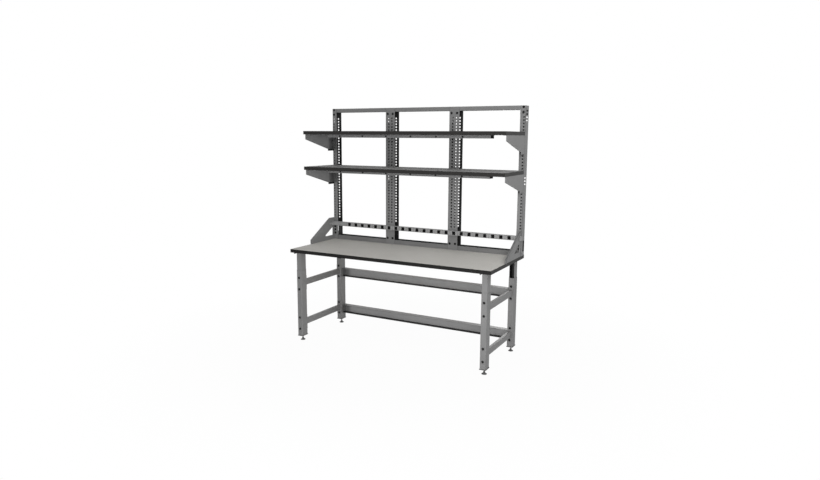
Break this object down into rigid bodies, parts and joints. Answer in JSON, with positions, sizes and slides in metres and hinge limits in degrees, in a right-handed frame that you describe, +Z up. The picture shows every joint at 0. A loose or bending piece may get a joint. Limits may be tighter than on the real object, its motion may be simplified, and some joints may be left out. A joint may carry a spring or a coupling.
{
  "type": "workstation with hutch",
  "caption": "Height-adjustable workbench with a grey laminate top, a perforated rear frame carrying bracketed shelves, side gussets, a long power strip and levelling feet.",
  "frame": {"origin": "on the floor under the middle of the worktop", "axes": "+X along the bench to the right as seen from the front, +Y to the back, +Z up"},
  "size_m": [1.856, 0.755, 2.018],
  "materials": {
    "board_core": "raw particle board",
    "laminate": "fine-textured grey laminate",
    "shelf_board": "grey laminate on both faces",
    "edge_band": "satin black edge band",
    "black_bolt": "black coated",
    "foot_pad": "moulded",
    "bright_steel": "zinc plated",
    "outlet": "black moulded",
    "strip_body": "satin light grey",
    "toe_pad": "matt black",
    "frame_paint": "fine-textured grey powder coat"
  },
  "bodies": {
    "base": {"leg_bolts": "black_bolt", "leg_end_caps": "frame_paint", "outer_leg_front_left": "frame_paint", "outer_leg_front_right": "frame_paint", "outer_leg_rear_left": "frame_paint", "outer_leg_rear_right": "frame_paint", "rear_stringer_lower": "frame_paint", "rear_stringer_upper": "frame_paint", "side_rail_lower_left": "frame_paint", "side_rail_lower_right": "frame_paint", "side_rail_upper_left": "frame_paint", "side_rail_upper_right": "frame_paint"},
    "worktop_unit": {"base_rail": "frame_paint", "end_upright_left": "frame_paint", "end_upright_right": "frame_paint", "frame_bolts": "black_bolt", "gusset_left": "frame_paint", "gusset_right": "frame_paint", "inner_leg_front_left": "frame_paint", "inner_leg_front_right": "frame_paint", "inner_leg_rear_left": "frame_paint", "inner_leg_rear_right": "frame_paint", "middle_post_left": "frame_paint", "middle_post_right": "frame_paint", "power_strip_clips": "strip_body", "power_strip_end_cap_left": "strip_body", "power_strip_end_cap_right": "strip_body", "power_strip_housing": "strip_body", "power_strip_outlets": "outlet", "top_rail": "frame_paint", "worktop_core": "board_core", "worktop_edge_band": "edge_band", "worktop_laminate": "laminate", "worktop_support_left": "frame_paint", "worktop_support_right": "frame_paint"},
    "upper_shelf": {"upper_shelf_board": "shelf_board", "upper_shelf_bolts": "frame_paint", "upper_shelf_bracket_left": "frame_paint", "upper_shelf_bracket_right": "frame_paint", "upper_shelf_edge_band": "edge_band", "upper_shelf_stiffener": "frame_paint", "upper_shelf_toe_pads": "toe_pad"},
    "lower_shelf": {"lower_shelf_board": "shelf_board", "lower_shelf_bolts": "frame_paint", "lower_shelf_bracket_left": "frame_paint", "lower_shelf_bracket_right": "frame_paint", "lower_shelf_edge_band": "edge_band", "lower_shelf_stiffener": "frame_paint", "lower_shelf_toe_pads": "toe_pad"},
    "foot_front_left": {"foot_pad_front_left": "foot_pad", "foot_stem_front_left": "bright_steel"},
    "foot_front_right": {"foot_pad_front_right": "foot_pad", "foot_stem_front_right": "bright_steel"},
    "foot_rear_left": {"foot_pad_rear_left": "foot_pad", "foot_stem_rear_left": "bright_steel"},
    "foot_rear_right": {"foot_pad_rear_right": "foot_pad", "foot_stem_rear_right": "bright_steel"}
  },
  "joints": [
    {"name": "worktop_height", "type": "slide", "parent": "base", "child": "worktop_unit", "axis": [0, 0, 1], "range_m": [-0.0508, 0.1016]},
    {"name": "upper_shelf_height", "type": "slide", "parent": "worktop_unit", "child": "upper_shelf", "axis": [0, 0, 1], "range_m": [-0.0508, 0.127]},
    {"name": "lower_shelf_height", "type": "slide", "parent": "worktop_unit", "child": "lower_shelf", "axis": [0, 0, 1], "range_m": [-0.3048, 0.0508]},
    {"name": "foot_level_front_left", "type": "slide", "parent": "base", "child": "foot_front_left", "axis": [0, 0, -1], "range_m": [-0.02, 0.02]},
    {"name": "foot_level_front_right", "type": "slide", "parent": "base", "child": "foot_front_right", "axis": [0, 0, -1], "range_m": [-0.02, 0.02]},
    {"name": "foot_level_rear_left", "type": "slide", "parent": "base", "child": "foot_rear_left", "axis": [0, 0, -1], "range_m": [-0.02, 0.02]},
    {"name": "foot_level_rear_right", "type": "slide", "parent": "base", "child": "foot_rear_right", "axis": [0, 0, -1], "range_m": [-0.02, 0.02]}
  ]
}
